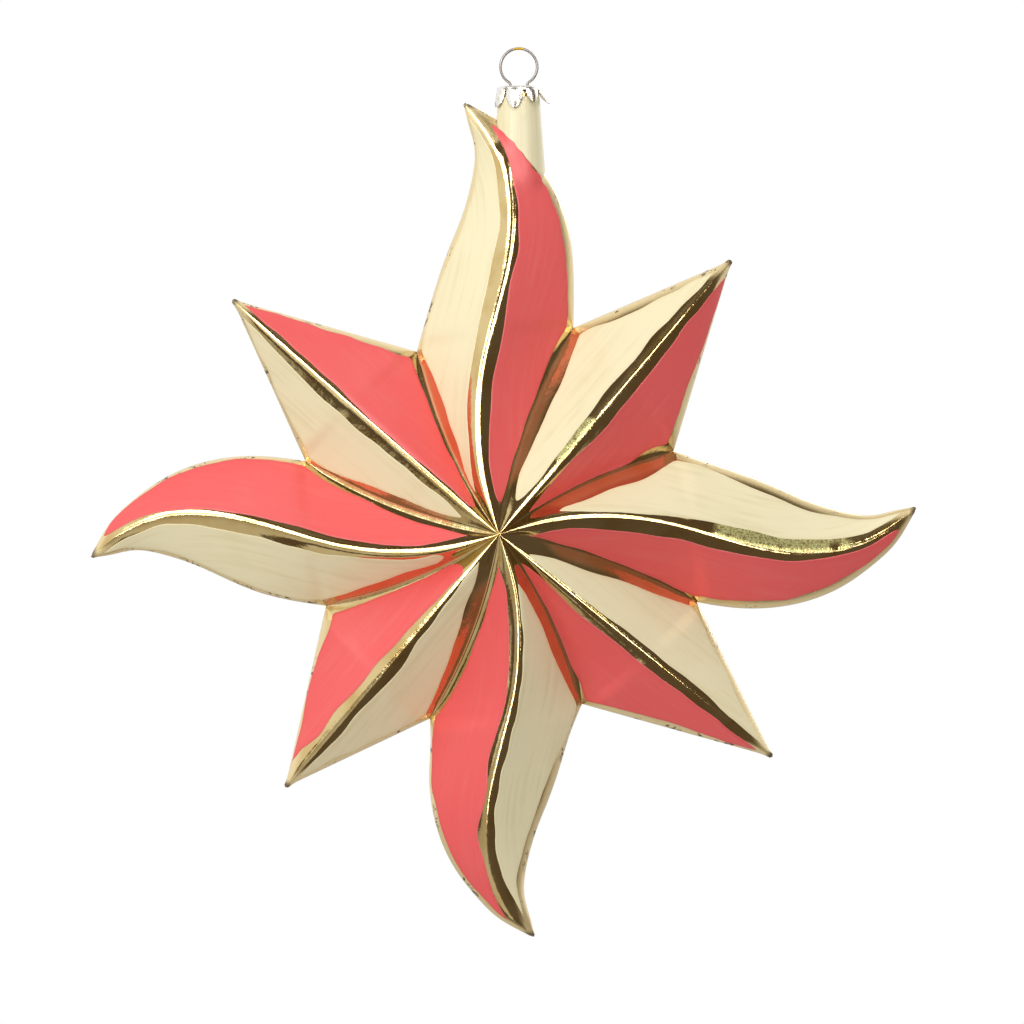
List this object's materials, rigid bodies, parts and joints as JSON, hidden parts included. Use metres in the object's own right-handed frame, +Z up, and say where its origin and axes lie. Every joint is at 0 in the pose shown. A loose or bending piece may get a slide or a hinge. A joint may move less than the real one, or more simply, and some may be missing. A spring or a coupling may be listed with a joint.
{
  "type": "hanging star ornament",
  "caption": "Mirrored blown-glass star with wavy and straight rays, lacquered in coral and cream, hung by a wire loop in a crimped cap.",
  "frame": {"origin": "hang point: the inside of the top of the wire loop", "axes": "+X to the right seen from the painted front, +Y from the front to the back, +Z up along the neck"},
  "size_m": [0.1801, 0.048, 0.1941],
  "materials": {
    "gold_glass": "blown glass with a bright gold mirror coat, opaque",
    "coral_lacquer": "satin hand-brushed coral lacquer",
    "cream_lacquer": "satin hand-brushed cream lacquer",
    "cap_plate": "bright thin stamped sheet",
    "spring_wire": "drawn spring wire"
  },
  "bodies": {
    "hanger": {"hanger_wire": "spring_wire"},
    "cap": {"crown_cap": "cap_plate"},
    "star": {"glass_body": "gold_glass", "neck_lacquer": "cream_lacquer", "coral_front_n": "coral_lacquer", "coral_front_nw": "coral_lacquer", "coral_front_w": "coral_lacquer", "coral_front_sw": "coral_lacquer", "coral_front_s": "coral_lacquer", "coral_front_se": "coral_lacquer", "coral_front_e": "coral_lacquer", "coral_front_ne": "coral_lacquer", "coral_back_n": "coral_lacquer", "coral_back_nw": "coral_lacquer", "coral_back_w": "coral_lacquer", "coral_back_sw": "coral_lacquer", "coral_back_s": "coral_lacquer", "coral_back_se": "coral_lacquer", "coral_back_e": "coral_lacquer", "coral_back_ne": "coral_lacquer", "cream_front_n": "cream_lacquer", "cream_front_nw": "cream_lacquer", "cream_front_w": "cream_lacquer", "cream_front_sw": "cream_lacquer", "cream_front_s": "cream_lacquer", "cream_front_se": "cream_lacquer", "cream_front_e": "cream_lacquer", "cream_front_ne": "cream_lacquer", "cream_back_n": "cream_lacquer", "cream_back_nw": "cream_lacquer", "cream_back_w": "cream_lacquer", "cream_back_sw": "cream_lacquer", "cream_back_s": "cream_lacquer", "cream_back_se": "cream_lacquer", "cream_back_e": "cream_lacquer", "cream_back_ne": "cream_lacquer"}
  },
  "joints": [
    {"name": "loop_rock", "type": "hinge", "parent": "hanger", "child": "cap", "pos_m": [0, 0, -0.00811], "axis": [1, 0, 0], "range_deg": [-8, 8]},
    {"name": "cap_pull_off", "type": "slide", "parent": "cap", "child": "star", "axis": [0, 0, -1], "range_m": [0, 0.014]}
  ]
}
